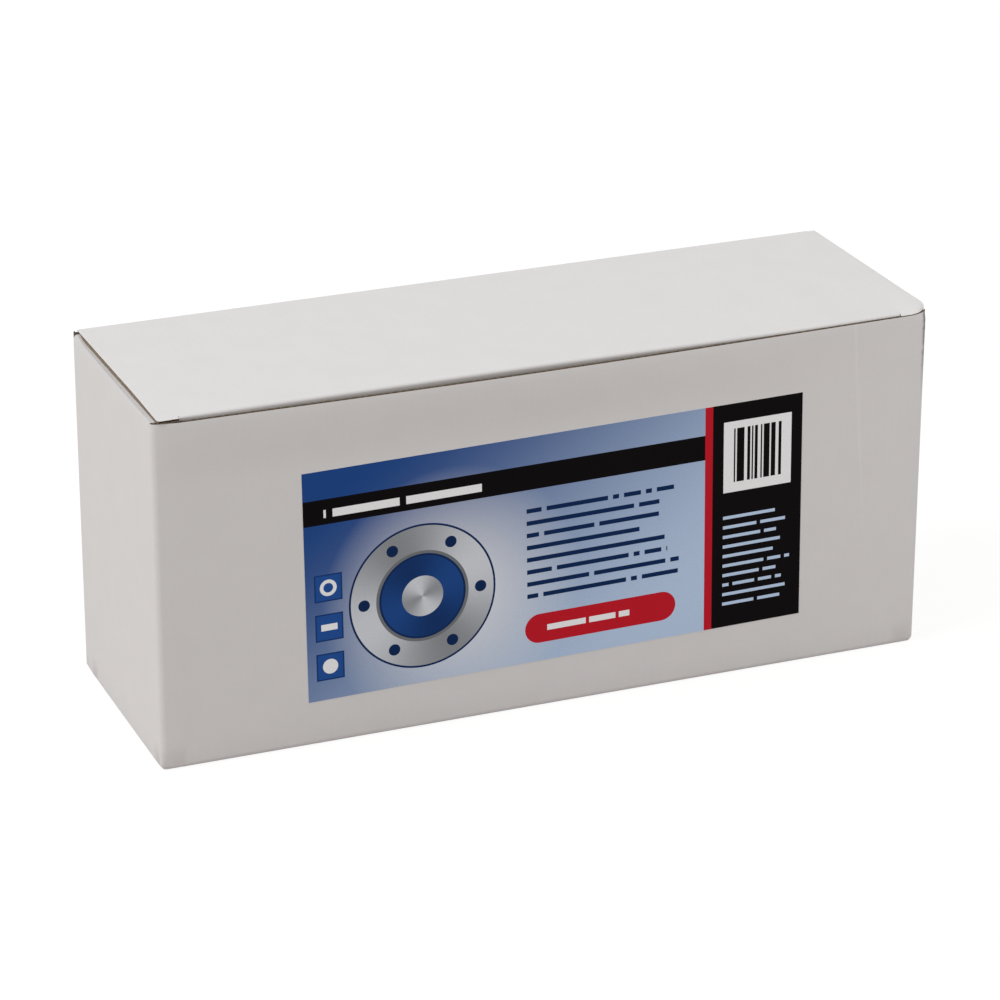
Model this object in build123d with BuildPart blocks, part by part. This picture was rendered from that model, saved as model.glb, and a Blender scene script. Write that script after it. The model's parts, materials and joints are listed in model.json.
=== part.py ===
"""Tuck-top carton of fluted board, closed, with a label stuck on its front panel.

Millimetres, +Z up, +X along the length, the front panel facing -Y. The origin is on the
floor under the middle of the carton. The board is one folded sheet: walls, glue tab, dust
flaps and bottom flaps are the carton's body, and the lid with its tuck flap turns on the
fold along the top of the back panel.
"""

import os
from math import asin, cos, radians, sin, tan

from build123d import *

# Outside of the closed carton
length = 310.0
depth = 98.0
height = 140.0

# Board and folds
board = 1.8  # thickness of the fluted board
fold_inner = 0.7  # radius inside a fold
flap_slot = 3.0  # from a corner of the carton to the root of an end panel's flap
slot_cut = 0.8  # width of the slot beside the root of a flap
slot_rise = 0.9  # bottom slots are cut up to the crease, so the corners clear the floor
glue_tab = 27.0  # width of the tab behind the right end panel
tab_trim = 6.0  # from the tab's ends to the ends of the wall
joint_setback = 0.5  # right end panel's cut edge, from the fold of the tab

# Lid
lid_gap = 0.3  # between the lid and the edges and flaps under it
lid_inset = 0.6  # lid's cut sides, from the ends of the carton
hinge_bevel = 0.9  # crushed outer edge of the back panel under the hinge fold
tuck_length = 24.0  # along the tuck flap, from its fold
tuck_gap = 0.5  # between the front panel and the tuck flap's fold
tuck_corner = 11.0  # radius of the tuck flap's free corners
slit_length = 10.5  # lock slits, from the lid's cut sides
slit_width = 1.6

# Dust flaps
dust_length = 62.0  # from the end of the carton
dust_gap = 0.6  # between a dust flap and the sweep of the tuck flap
dust_taper = 6.0  # how much each side of a dust flap runs in towards its free edge
dust_corner = 9.0  # radius of its free corners
shoulder_gap = 1.2  # between a dust flap's shoulder and the tuck flap's end

# Snap-lock bottom: four flaps that interlock with no glue
rise_angle = 24.0  # degrees, slope of a flap where it rises onto another
rise_fold = 4.0  # radius at the top and foot of such a rise
rise_gap = 1.2  # from the top of a rise to the cut edge beside it
tongue_root = 16.0  # start of the front flap's tongue, in front of the middle
tongue_half = 72.0  # half the width of the tongue
tongue_gap = 1.5  # from the sides of the tongue to the flaps beside it
tongue_reach = 26.0  # how far the tongue passes the middle
lobe_reach = 24.0  # how far the back flap's lobes pass the middle
end_flap = 60.0  # from the ends of the carton
end_flap_front = 12.0  # how much an end flap's front edge runs in towards its free edge
end_flap_back = 36.0  # how far its root passes the middle
end_flap_slant = 34.0  # how much its back edge runs in towards its free edge
free_corner = 5.0  # radius of the bottom flaps' free corners

# Label
label_width = 201.5
label_height = 92.3
label_thickness = 0.15
label_right = 2.8  # centre of the label, right of the carton's middle
label_up = 65.8  # centre of the label, above the floor
label_turn = 0.8  # degrees anticlockwise, as it was stuck on

# Middle of the board in each wall, and the radii of a fold there
fold_mid = fold_inner + board / 2
fold_outer = fold_inner + board
end_mid = length / 2 - board / 2
wall_mid = depth / 2 - board / 2
body_top = height - board - lid_gap
fold_reach = 2 * fold_outer

# Hinge axis in the middle of the board, and the tuck flap along a chord of the arc that
# its fold swings on, so that its free edge comes up past the front panel
hinge_y = wall_mid
lid_mid = height - board / 2
tuck_fold = -depth / 2 + board + tuck_gap + board / 2
tuck_swing = hinge_y - tuck_fold
tuck_lean = asin(tuck_length / (2 * tuck_swing))
tuck_tip = (tuck_fold + tuck_length * sin(tuck_lean), lid_mid - tuck_length * cos(tuck_lean))
lid_half = length / 2 - lid_inset
tuck_half = lid_half - slit_length

# Dust flaps keep inside the nearest sweep of the tuck flap's inner face
dust_front = hinge_y - (tuck_swing * cos(tuck_lean) - board / 2 - dust_gap)
flap_half = depth / 2 - flap_slot
shoulder_end = tuck_half + shoulder_gap
dust_tip = length / 2 - dust_length
level_top = body_top - board / 2

# Bottom flaps lie on four levels, each a board above the last. A flap that rises onto another
# starts from a fold that just touches the floor.
floor_level = board / 2
end_level = floor_level + board
back_level = end_level + board
tongue_level = back_level + board
slope = radians(rise_angle)
rise_foot = fold_outer - fold_mid * (1 + sin(slope)) / cos(slope)
end_rise = end_mid - (end_level - rise_foot) / tan(slope)
back_rise = wall_mid - (back_level - rise_foot) / tan(slope)
tongue_top = (tongue_level - floor_level) / tan(slope) - tongue_root
notch_edge = tongue_top + rise_gap
flap_end = end_rise - rise_gap
end_tip = length / 2 - end_flap
beside_tongue = tongue_half + tongue_gap

os.makedirs("parts", exist_ok=True)

with BuildPart() as carton_body:
    # Four walls, then the glue tab behind the right end panel, as strips of board in plan
    with BuildSketch(Plane.XY.offset(slot_rise)):
        with BuildLine():
            FilletPolyline(
                (end_mid, depth / 2 - fold_outer - joint_setback),
                (end_mid, -wall_mid),
                (-end_mid, -wall_mid),
                (-end_mid, wall_mid),
                (0, wall_mid),
                radius=fold_mid,
            )
        trace(line_width=board)
        with BuildLine():
            FilletPolyline(
                (0, wall_mid),
                (end_mid - board, wall_mid),
                (end_mid - board, wall_mid - glue_tab),
                radius=fold_mid,
            )
        trace(line_width=board)
    extrude(amount=body_top - slot_rise)

    # Glue tab trimmed clear of the flaps above and below it
    tab_front = wall_mid - glue_tab
    tab_back = depth / 2 - board
    with Locations(
        (end_mid - board, (tab_front + tab_back) / 2, tab_trim / 2),
        (end_mid - board, (tab_front + tab_back) / 2, body_top - tab_trim / 2),
    ):
        Box(board, tab_back - tab_front, tab_trim, mode=Mode.SUBTRACT)

    # Dust flaps: a fold along the top of each end panel, then the flap with its shoulder
    with Locations(
        (-end_mid, 0, body_top - fold_outer / 2),
        (end_mid, 0, body_top - fold_outer / 2),
    ):
        Box(board, 2 * (flap_half + slot_cut), fold_outer, mode=Mode.SUBTRACT)
    with BuildSketch(Plane.XZ):
        with BuildLine():
            FilletPolyline(
                (-end_mid, body_top - fold_reach),
                (-end_mid, level_top),
                (fold_reach - length / 2, level_top),
                radius=fold_mid,
            )
        trace(line_width=board)
        mirror(about=Plane.YZ)
    extrude(amount=flap_half, both=True)
    with BuildSketch(Plane.XY.offset(body_top - board)):
        with BuildLine():
            Polyline(
                (fold_outer - length / 2, -flap_half),
                (-shoulder_end, -flap_half),
                (-shoulder_end, dust_front),
                (-dust_tip, dust_front + dust_taper),
                (-dust_tip, flap_half - dust_taper),
                (-shoulder_end, flap_half),
                (fold_outer - length / 2, flap_half),
                close=True,
            )
        make_face()
        fillet(vertices().group_by(Axis.X)[-1], radius=dust_corner)
        mirror(about=Plane.YZ)
    extrude(amount=board)

    # Front bottom flap, flat on the floor, with a shoulder on each side of its tongue
    with Locations((0, -wall_mid, fold_outer / 2), (0, wall_mid, fold_outer / 2)):
        Box(2 * (flap_end + slot_cut), board, fold_outer, mode=Mode.SUBTRACT)
    with BuildSketch(Plane.YZ):
        with BuildLine():
            FilletPolyline(
                (-wall_mid, fold_reach),
                (-wall_mid, floor_level),
                (-tongue_root, floor_level),
                radius=fold_mid,
            )
        trace(line_width=board)
    extrude(amount=flap_end, both=True)
    with BuildSketch():
        with Locations((-(flap_end + beside_tongue) / 2, -tongue_root / 2)):
            Rectangle(flap_end - beside_tongue, tongue_root)
        fillet(vertices().group_by(Axis.Y)[-1], radius=free_corner)
        mirror(about=Plane.YZ)
    extrude(amount=board)

    # Back bottom flap, raised over the end flaps, with a lobe on each side of its notch
    with BuildSketch(Plane.YZ):
        with BuildLine():
            FilletPolyline(
                (wall_mid, fold_reach),
                (wall_mid, rise_foot),
                (back_rise, back_level),
                (notch_edge, back_level),
                radius=[fold_mid, rise_fold],
            )
        trace(line_width=board)
    extrude(amount=flap_end, both=True)
    with BuildSketch(Plane.XY.offset(back_level - board / 2)):
        with Locations((-(flap_end + beside_tongue) / 2, (notch_edge - lobe_reach) / 2)):
            Rectangle(flap_end - beside_tongue, notch_edge + lobe_reach)
        fillet(vertices().group_by(Axis.Y)[0], radius=free_corner)
        mirror(about=Plane.YZ)
    extrude(amount=board)

    # End flaps, held between the front and back ones
    with Locations(
        (-end_mid, (end_flap_back - flap_half) / 2, fold_outer / 2),
        (end_mid, (end_flap_back - flap_half) / 2, fold_outer / 2),
    ):
        Box(board, end_flap_back + flap_half + 2 * slot_cut, fold_outer, mode=Mode.SUBTRACT)
    with BuildSketch(Plane.XZ.offset(-end_flap_back)):
        with BuildLine():
            FilletPolyline(
                (-end_mid, fold_reach),
                (-end_mid, rise_foot),
                (-end_rise, end_level),
                (-flap_end, end_level),
                radius=[fold_mid, rise_fold],
            )
        trace(line_width=board)
        mirror(about=Plane.YZ)
    extrude(amount=end_flap_back + flap_half)
    with BuildSketch(Plane.XY.offset(end_level - board / 2)):
        with BuildLine():
            Polyline(
                (-flap_end, -flap_half),
                (-end_tip, end_flap_front - flap_half),
                (-end_tip, end_flap_back - end_flap_slant),
                (-flap_end, end_flap_back),
                close=True,
            )
        make_face()
        fillet(vertices().group_by(Axis.X)[-1], radius=free_corner)
        mirror(about=Plane.YZ)
    extrude(amount=board)

    # Tongue of the front flap, up through the notch and locked on top of the back flap
    with BuildSketch(Plane.YZ):
        with BuildLine():
            FilletPolyline(
                (-tongue_root - fold_reach, floor_level),
                (-tongue_root, floor_level),
                (tongue_top, tongue_level),
                (notch_edge, tongue_level),
                radius=rise_fold,
            )
        trace(line_width=board)
    extrude(amount=tongue_half, both=True)
    with BuildSketch(Plane.XY.offset(tongue_level - board / 2)):
        with Locations((0, (notch_edge + tongue_reach) / 2)):
            Rectangle(2 * tongue_half, tongue_reach - notch_edge)
        fillet(vertices().group_by(Axis.Y)[-1], radius=free_corner)
    extrude(amount=board)

    # Outer edge of the back panel, crushed along the hinge fold
    with BuildSketch(Plane.YZ):
        with BuildLine():
            Polyline(
                (depth / 2, body_top),
                (depth / 2 - hinge_bevel, body_top),
                (depth / 2, body_top - hinge_bevel),
                close=True,
            )
        make_face()
    extrude(amount=length / 2, both=True, mode=Mode.SUBTRACT)

with BuildPart() as lid:
    # Top panel, rounded on the hinge axis, and the tuck flap folded down at its front
    with BuildSketch(Plane.YZ):
        with BuildLine():
            FilletPolyline((hinge_y, lid_mid), (tuck_fold, lid_mid), tuck_tip, radius=fold_mid)
        trace(line_width=board)
        with Locations((hinge_y, lid_mid)):
            Circle(board / 2)
    extrude(amount=lid_half, both=True)

    # Lock slits part the tuck flap from the lid's corners, and its free corners are round
    lid_front = tuck_fold - board / 2
    for slit_mid in (-(lid_half + tuck_half) / 2, (lid_half + tuck_half) / 2):
        with Locations((slit_mid, lid_front, height)):
            Box(slit_length, 2 * slit_width, 4 * board, mode=Mode.SUBTRACT)
        with Locations((slit_mid, lid_front, height - board)):
            Box(
                slit_length,
                2 * tuck_length,
                2 * tuck_length,
                align=(Align.CENTER, Align.CENTER, Align.MAX),
                mode=Mode.SUBTRACT,
            )
    free_edge = faces().sort_by(Axis.Z)[0]
    fillet(free_edge.edges().sort_by(SortBy.LENGTH)[:2], tuck_corner)

with BuildPart() as label:
    with BuildSketch(Plane.XZ.offset(depth / 2)):
        with Locations(Location((label_right, label_up), label_turn)):
            Rectangle(label_width, label_height)
    extrude(amount=label_thickness)

for name, piece in (("carton_body", carton_body), ("lid", lid), ("label", label)):
    piece.part.label = name
    export_step(piece.part, f"parts/{name}.step")
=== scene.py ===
"""Tuck-top carton of fluted board with a printed label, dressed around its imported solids.

Metres, in the solids' frame: +Z up, +X along the length, the front panel facing -Y. The board
is drawn flat, as a die cuts it, and fold lines carry the flat sheet into place, so its slots,
flaps and raw edges keep their true form. Flutes run up the panels and front to back in the lid.
"""

import json
import math

import bpy
import numpy as np
from mathutils import Matrix, Vector
from mathutils.geometry import delaunay_2d_cdt


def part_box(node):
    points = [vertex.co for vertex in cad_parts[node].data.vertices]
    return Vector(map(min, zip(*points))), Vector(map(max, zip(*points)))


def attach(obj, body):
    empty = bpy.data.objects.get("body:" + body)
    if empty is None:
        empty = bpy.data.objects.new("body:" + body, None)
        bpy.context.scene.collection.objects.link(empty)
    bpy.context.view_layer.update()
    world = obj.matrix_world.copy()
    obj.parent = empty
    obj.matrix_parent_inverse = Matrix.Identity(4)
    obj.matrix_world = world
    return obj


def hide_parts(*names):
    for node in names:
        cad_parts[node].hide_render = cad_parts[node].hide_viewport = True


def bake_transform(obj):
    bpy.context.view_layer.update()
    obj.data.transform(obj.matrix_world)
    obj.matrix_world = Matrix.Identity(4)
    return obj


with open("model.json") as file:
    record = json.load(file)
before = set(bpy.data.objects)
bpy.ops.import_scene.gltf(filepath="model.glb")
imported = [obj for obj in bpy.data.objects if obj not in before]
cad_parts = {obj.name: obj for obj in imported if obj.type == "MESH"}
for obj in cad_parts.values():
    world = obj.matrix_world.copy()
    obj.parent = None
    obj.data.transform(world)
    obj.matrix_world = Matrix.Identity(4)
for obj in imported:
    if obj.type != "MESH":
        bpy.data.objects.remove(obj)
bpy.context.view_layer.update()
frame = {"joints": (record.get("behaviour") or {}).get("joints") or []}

bl_info = {
    "name": "Tuck-top carton",
    "version": (1, 0, 0),
    "blender": (4, 5, 0),
    "location": "View3D > Sidebar > Carton",
    "description": "Folds a carton of fluted board around its packed solids and sticks a label on it",
    "category": "Object",
}

MM = 0.001
FLAT_MAP = "flat_sheet"

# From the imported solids: outside of the carton, its hinge and the board
BODY_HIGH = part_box("carton_body")[1]
LID_LOW, LID_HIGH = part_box("lid")
LABEL_LOW, LABEL_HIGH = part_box("label")
HINGE_Y, HINGE_Z = frame["joints"][0]["pos_m"][1:]
HALF_LENGTH = BODY_HIGH.x
HALF_DEPTH = BODY_HIGH.y
BODY_TOP = BODY_HIGH.z
BOARD = 2 * (LID_HIGH.z - HINGE_Z)
TUCK_FOLD = LID_LOW.y + BOARD / 2

# Folds and slots
FOLD_INNER = 0.7 * MM
FLAP_SLOT = 2.8 * MM  # from a corner of the carton to the root of an end panel's flap
SLOT_CUT = 0.25 * MM
SLOT_RISE = 0.15 * MM
SLOT_HEIGHT = 1.0 * MM
TOP_CORNER = 0.5 * MM  # rounding of the walls' top corners by the dust flaps
FRONT_TOP = BODY_TOP + 0.1 * MM
RISE_FROM = 150.5 * MM  # where the front panel's top edge starts to rise to its right corner
CORNER_RISE = 1.5 * MM
RISE_ROUND = 10 * CORNER_RISE
CORNER_CRUSH = 0.58  # share of the board that is crushed out of that corner's top
CRUSH_INWARD = 0.3 * MM  # how far its outer face gives way there, and from how deep and how far
CRUSH_DEPTH = 2.5 * MM
CRUSH_RUN = (2.5 * MM, 8.0 * MM)
HEEL_RISE = 1.7 * MM  # how far the back left corner stands up beside the hinge
HEEL_LIFT = 1.1 * MM  # how far it lifts the end of the dust flap's fold, and over what length
HEEL_RUN = 10.0 * MM
GLUE_TAB = 27.0 * MM
TAB_TRIM = 3.0 * MM
JOINT_SETBACK = 0.5 * MM

# Lid and dust flaps
TUCK_LENGTH = 24.0 * MM
TUCK_CORNER = 11.0 * MM
TUCK_CREASE = 0.35 * MM  # tight fold of the tuck flap, in the middle of the board
TUCK_EDGE = -47.9 * MM  # where the lid turns down, pressed out over the front panel
# The lid's right and left sides: half its width at the hinge and in front and how it spreads near its
# front, its corners' cut front edge beyond the slits and their rounding, and where its board is worn
# thin and how far
LID_BACKS = (153.9 * MM, 153.1 * MM)
LID_FRONTS = (157.0 * MM, 152.5 * MM)
LID_SPREADS = (0.7 * MM, 0.0)
SPREAD_RUN = 16.0 * MM
SPREAD_ROUND = 200.0 * MM
LID_EDGES = (-48.9 * MM, -49.7 * MM)
LID_CORNERS = (8.3 * MM, 1.2 * MM)
WORN_PLACES = ((150.0 * MM, -48.0 * MM), (-152.8 * MM, -49.7 * MM))
WORN_REACHES = (20.0 * MM, 30.0 * MM)
# Share of the board that is rolled down at the right corner's front edge, by the slit and at the rounding
FRONT_ROLLS = (0.6, 0.92)
ROLL_RUN = 3.5 * MM
SLIT_LENGTH = 10.5 * MM
DUST_LENGTH = 62.0 * MM
DUST_SAG = 3.0 * MM
DUST_CREASE = 0.4 * MM
DUST_GAP = 0.6 * MM
DUST_TAPER = 6.0 * MM
DUST_CORNER = 9.0 * MM
SHOULDER_GAP = 1.2 * MM

# Snap-lock bottom
RISE_ANGLE = math.radians(24.0)
RISE_FOLD = 4.0 * MM
RISE_GAP = 1.2 * MM
TONGUE_ROOT = 16.0 * MM
TONGUE_HALF = 72.0 * MM
TONGUE_GAP = 1.5 * MM
TONGUE_REACH = 26.0 * MM
LOBE_REACH = 24.0 * MM
END_FLAP = 60.0 * MM
END_FLAP_FRONT = 12.0 * MM
END_FLAP_BACK = 36.0 * MM
END_FLAP_SLANT = 34.0 * MM
FREE_CORNER = 5.0 * MM

# Middle of the board in each wall and flap
FOLD_MID = FOLD_INNER + BOARD / 2
FOLD_OUTER = FOLD_INNER + BOARD
END_MID = HALF_LENGTH - BOARD / 2
WALL_MID = HALF_DEPTH - BOARD / 2
FLAP_HALF = HALF_DEPTH - FLAP_SLOT
DUST_LEVEL = BODY_TOP - BOARD / 2
DUST_TIP = HALF_LENGTH - DUST_LENGTH
FLOOR_LEVEL = BOARD / 2
END_LEVEL = FLOOR_LEVEL + BOARD
BACK_LEVEL = END_LEVEL + BOARD
TONGUE_LEVEL = BACK_LEVEL + BOARD
RISE_FOOT = FOLD_OUTER - FOLD_MID * (1 + math.sin(RISE_ANGLE)) / math.cos(RISE_ANGLE)
END_RISE = END_MID - (END_LEVEL - RISE_FOOT) / math.tan(RISE_ANGLE)
BACK_RISE = WALL_MID - (BACK_LEVEL - RISE_FOOT) / math.tan(RISE_ANGLE)
TONGUE_TOP = (TONGUE_LEVEL - FLOOR_LEVEL) / math.tan(RISE_ANGLE) - TONGUE_ROOT
NOTCH_EDGE = TONGUE_TOP + RISE_GAP
FLAP_END = END_RISE - RISE_GAP
END_TIP = HALF_LENGTH - END_FLAP
BESIDE_TONGUE = TONGUE_HALF + TONGUE_GAP

# Tuck flap, along a chord of its swing, and the dust flaps that keep inside that swing
TUCK_SWING = HINGE_Y - TUCK_FOLD
TUCK_LEAN = math.asin(TUCK_LENGTH / (2 * TUCK_SWING))
TUCK_TIP = (
    TUCK_FOLD + TUCK_LENGTH * math.sin(TUCK_LEAN),
    HINGE_Z - TUCK_LENGTH * math.cos(TUCK_LEAN),
)
TUCK_HALF = LID_HIGH.x - SLIT_LENGTH
SHOULDER_END = TUCK_HALF + SHOULDER_GAP
DUST_FRONT = HINGE_Y - (TUCK_SWING * math.cos(TUCK_LEAN) - BOARD / 2 - DUST_GAP)

# How finely the flat sheet is divided
ARC_STEPS = 8
PRESS_REACH = 1.5 * MM  # how far beside a tight fold the inside of the board is crushed
TIGHTEST = 0.1 * MM  # radius inside such a fold
PANEL_STEP = 8.0 * MM
FINEST = 0.03 * MM  # least spacing of points on the outline
EDGE_REACH = 0.9 * MM  # how far a cut edge is pressed thin
RING_CLEAR = 0.8 * EDGE_REACH  # least distance to the outline of the ring inside it, and of the grid
GRID_CLEAR = 1.4 * EDGE_REACH
WAVE_SETBACK = 0.1 * MM  # how far behind a cut edge the wave starts
SAME = 1e-6  # places closer than this are one
FLUTE_STEPS = 10  # points in one wave
ALONG_FLUTE = 4.0 * MM  # spacing of points where an edge runs along a flute
SHARP = math.radians(38.0)


def metres(name, description, default, least=0.0):
    """A length that a user may change."""
    return bpy.props.FloatProperty(
        name=name, description=description, default=default, min=least, unit="LENGTH", precision=6
    )


def degrees(name, description, default):
    """An angle that a user may change."""
    return bpy.props.FloatProperty(
        name=name, description=description, default=math.radians(default), subtype="ANGLE"
    )


def tint(name, description, red, green, blue):
    """A colour that a user may change, from its screen values of 0 to 255."""
    return bpy.props.FloatVectorProperty(
        name=name,
        description=description,
        subtype="COLOR",
        size=4,
        min=0.0,
        max=1.0,
        default=screen_colour(red, green, blue),
    )


def screen_colour(red, green, blue):
    """The linear colour that shows as these screen values."""
    share = np.array([red, green, blue]) / 255
    linear = np.where(share <= 0.04045, share / 12.92, ((share + 0.055) / 1.055) ** 2.4)
    return (*linear.tolist(), 1.0)


class CartonBoard(bpy.types.PropertyGroup):
    """The fluted board and the way it sits."""

    liner: metres("Liner", "Thickness of each flat face of the board", 0.2 * MM)
    medium: metres("Medium", "Thickness of the waved sheet inside the board", 0.18 * MM)
    flute_pitch: metres("Flute pitch", "From one wave of the board to the next", 3.2 * MM)
    edge_depth: metres("Edge depth", "How far a cut edge can be looked into", 1.5 * MM)
    edge_press: bpy.props.FloatProperty(
        name="Edge press",
        description="Share of the board's thickness that the knife presses out of a cut edge",
        default=0.08,
        subtype="FACTOR",
    )
    front_bow: metres("Front bow", "How far the top of the front panel stands out in its middle", 2.5 * MM)
    front_push: metres("Front push", "How far the tuck flap pushes that top out on the left", 1.3 * MM)
    lid_droop: metres("Lid droop", "How far the lid's front fold droops on the right", 0.9 * MM)
    fold_back: metres("Fold back", "How far the right end of that fold is drawn back", 0.9 * MM)
    end_dip: metres("End dip", "How far the top folds of the end panels sink in their middle", 0.3 * MM)
    bow_depth: metres("Bow depth", "How far down the front panel its bow reaches", 26.0 * MM)
    corner_wear: bpy.props.FloatVectorProperty(
        name="Corner wear",
        description="Share of the board's thickness that is worn off the lid on the right and the left",
        default=(0.15, 0.35),
        size=2,
    )
    washboard: metres("Washboard", "Height of the flutes that show through the face", 0.006 * MM)
    outside: tint("Outside", "Grey-white outer face", 221, 219, 218)
    inside: tint("Inside", "Grey-brown inner face", 176, 160, 138)
    core: tint("Core", "Waved sheet and cut edges", 148, 133, 117)


class CartonLabel(bpy.types.PropertyGroup):
    """The printed label on the front panel."""

    width: metres("Width", "Along the front panel", 201.5 * MM)
    height: metres("Height", "Up the front panel", 92.3 * MM)
    turn: degrees("Turn", "How far the label was turned when it was stuck on", 0.8)
    paper: tint("Paper", "White of the label", 244, 245, 246)
    black: tint("Black", "Bands and bars", 14, 10, 12)
    deep_blue: tint("Deep blue", "Dark end of the blended field", 34, 74, 140)
    pale_blue: tint("Pale blue", "Light end of the blended field", 188, 209, 235)
    red: tint("Red", "Accent", 196, 30, 44)
    silver: tint("Silver", "Ring motif", 178, 182, 187)


class CartonStage(bpy.types.PropertyGroup):
    """Camera, floor and lights."""

    azimuth: degrees("Azimuth", "Camera's turn about the carton", -21.92)
    elevation: degrees("Elevation", "Camera's height as an angle", 23.04)
    roll: degrees("Roll", "Camera's turn about its own axis", 0.11)
    distance: metres("Distance", "From the middle of the carton to the camera", 1604.0 * MM)
    right: metres("Right", "How far the carton stands right of the picture's middle", 0.99 * MM, -1.0)
    up: metres("Up", "How far the carton stands above the picture's middle", 4.06 * MM, -1.0)
    lens: bpy.props.FloatProperty(
        name="Lens", description="Focal length for a 36 mm sensor", default=150.0, unit="CAMERA"
    )
    floor: tint("Floor", "Pale floor", 197, 190, 187)


def eased(value, start, end):
    """0 before start, 1 after end, and an even S between them."""
    share = np.clip((value - start) / (end - start), 0, 1)
    return share * share * (3 - 2 * share)


def heading_vector(angle):
    """Unit vector along a heading."""
    return np.stack([np.cos(angle), np.sin(angle)], axis=-1)


def left_vector(angle):
    """Unit vector to the left of a heading."""
    return np.stack([-np.sin(angle), np.cos(angle)], axis=-1)


class FoldLine:
    """A sheet seen edge on: straight runs joined by arcs, looked up by the length walked along it.

    Each corner is cut back by its radius times the tangent of half its turn, and an arc joins
    the cut ends. Places and headings are kept at knots, so a whole array of lengths is placed
    at once.
    """

    def __init__(self, corners, radii):
        corners = np.array(corners, float)
        legs = np.diff(corners, axis=0)
        headings = np.unwrap(np.arctan2(legs[:, 1], legs[:, 0]))
        places = [corners[:1]]
        turned = [headings[:1]]
        for corner, radius, before, after in zip(corners[1:-1], radii, headings, headings[1:]):
            side = np.sign(after - before)
            start = corner - radius * abs(math.tan((after - before) / 2)) * heading_vector(before)
            heading = np.linspace(before, after, ARC_STEPS + 1)
            places.append(start + radius * side * (left_vector(before) - left_vector(heading)))
            turned.append(heading)
        places.append(corners[-1:])
        turned.append(headings[-1:])
        self.place = np.concatenate(places)
        self.heading = np.concatenate(turned)
        steps = np.linalg.norm(np.diff(self.place, axis=0), axis=1)
        self.along = np.concatenate([[0.0], np.cumsum(steps)])
        self.length = self.along[-1]
        self.radii = radii

    def arc(self, corner):
        """Lengths at which the arc at a corner starts and ends."""
        first = 1 + corner * (ARC_STEPS + 1)
        return self.along[first], self.along[first + ARC_STEPS]

    def crush(self, along):
        """Share of the board's inner half that is pressed away, most in a tight fold."""
        share = np.zeros_like(along)
        for corner, radius in enumerate(self.radii):
            start, end = self.arc(corner)
            tight = max(0.0, 1 - (radius - TIGHTEST) / (BOARD / 2))
            beside = np.maximum(start - along, along - end)
            share = np.maximum(share, tight * (1 - eased(beside, 0.0, PRESS_REACH)))
        return share

    def at(self, along, out):
        """Places at these lengths, moved out to the right of the line's heading."""
        heading = np.interp(along, self.along, self.heading)
        out = np.where(out < 0, out * (1 - self.crush(along)), out)
        across = np.interp(along, self.along, self.place[:, 0]) + out * np.sin(heading)
        up = np.interp(along, self.along, self.place[:, 1]) - out * np.cos(heading)
        return across, up


class PanelLine(FoldLine):
    """Fold line of a wall panel with its flaps: out from the wall, and up.

    It runs from the tip of the bottom flap up the wall, so its lengths, counted from where the
    wall would meet the floor, are heights on the wall and carry on into the flaps.
    """

    def __init__(self, corners, radii):
        super().__init__(corners, radii)
        on_wall = np.argmax(np.abs(self.place[:, 0]) < 1e-9)
        self.floor = self.along[on_wall] - self.place[on_wall, 1]
        self.rows = self.along - self.floor

    def under(self, out):
        """Flat height of a place on the bottom flap, from how far out it is."""
        return out - self.place[0, 0] - self.floor

    def over(self, out):
        """Flat height of a place on the top flap, from how far out it is."""
        return self.length - self.floor - (out - self.place[-1, 0])

    def on(self, height, out):
        """Places at these flat heights, moved out of the board's middle."""
        return self.at(height + self.floor, out)


WALLS = FoldLine(
    [
        (END_MID - BOARD, WALL_MID - GLUE_TAB),
        (END_MID - BOARD, WALL_MID),
        (-END_MID, WALL_MID),
        (-END_MID, -WALL_MID),
        (END_MID, -WALL_MID),
        (END_MID, HALF_DEPTH - FOLD_OUTER - JOINT_SETBACK),
    ],
    [FOLD_MID] * 4,
)
BACK_ZERO = WALLS.arc(0)[1] + END_MID - BOARD - FOLD_MID
LEFT_ZERO = WALLS.arc(1)[1] + WALL_MID - FOLD_MID
FRONT_ZERO = WALLS.arc(2)[1] + END_MID - FOLD_MID
RIGHT_ZERO = WALLS.arc(3)[1] + WALL_MID - FOLD_MID

END_LINE = PanelLine(
    [
        (END_TIP - END_MID, END_LEVEL),
        (END_RISE - END_MID, END_LEVEL),
        (0, RISE_FOOT),
        (0, DUST_LEVEL),
        (DUST_TIP - END_MID, DUST_LEVEL - DUST_SAG),
    ],
    [RISE_FOLD, FOLD_MID, DUST_CREASE],
)
BACK_LINE = PanelLine(
    [
        (-LOBE_REACH - WALL_MID, BACK_LEVEL),
        (BACK_RISE - WALL_MID, BACK_LEVEL),
        (0, RISE_FOOT),
        (0, FRONT_TOP),
    ],
    [RISE_FOLD, FOLD_MID],
)
TONGUE_LINE = PanelLine(
    [
        (-TONGUE_REACH - WALL_MID, TONGUE_LEVEL),
        (-TONGUE_TOP - WALL_MID, TONGUE_LEVEL),
        (TONGUE_ROOT - WALL_MID, FLOOR_LEVEL),
        (0, FLOOR_LEVEL),
        (0, FRONT_TOP),
    ],
    [RISE_FOLD, RISE_FOLD, FOLD_MID],
)
SHOULDER_LINE = PanelLine(
    [(-WALL_MID, FLOOR_LEVEL), (0, FLOOR_LEVEL), (0, BODY_TOP + max(CORNER_RISE, HEEL_RISE))],
    [FOLD_MID],
)
LID_LINE = FoldLine([(HINGE_Y, HINGE_Z), (TUCK_EDGE, HINGE_Z), TUCK_TIP], [TUCK_CREASE])
LID_FLAT = FoldLine([(HINGE_Y, HINGE_Z), (min(LID_EDGES), HINGE_Z)], [])
TUCK_START = LID_LINE.arc(0)[0]

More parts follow.
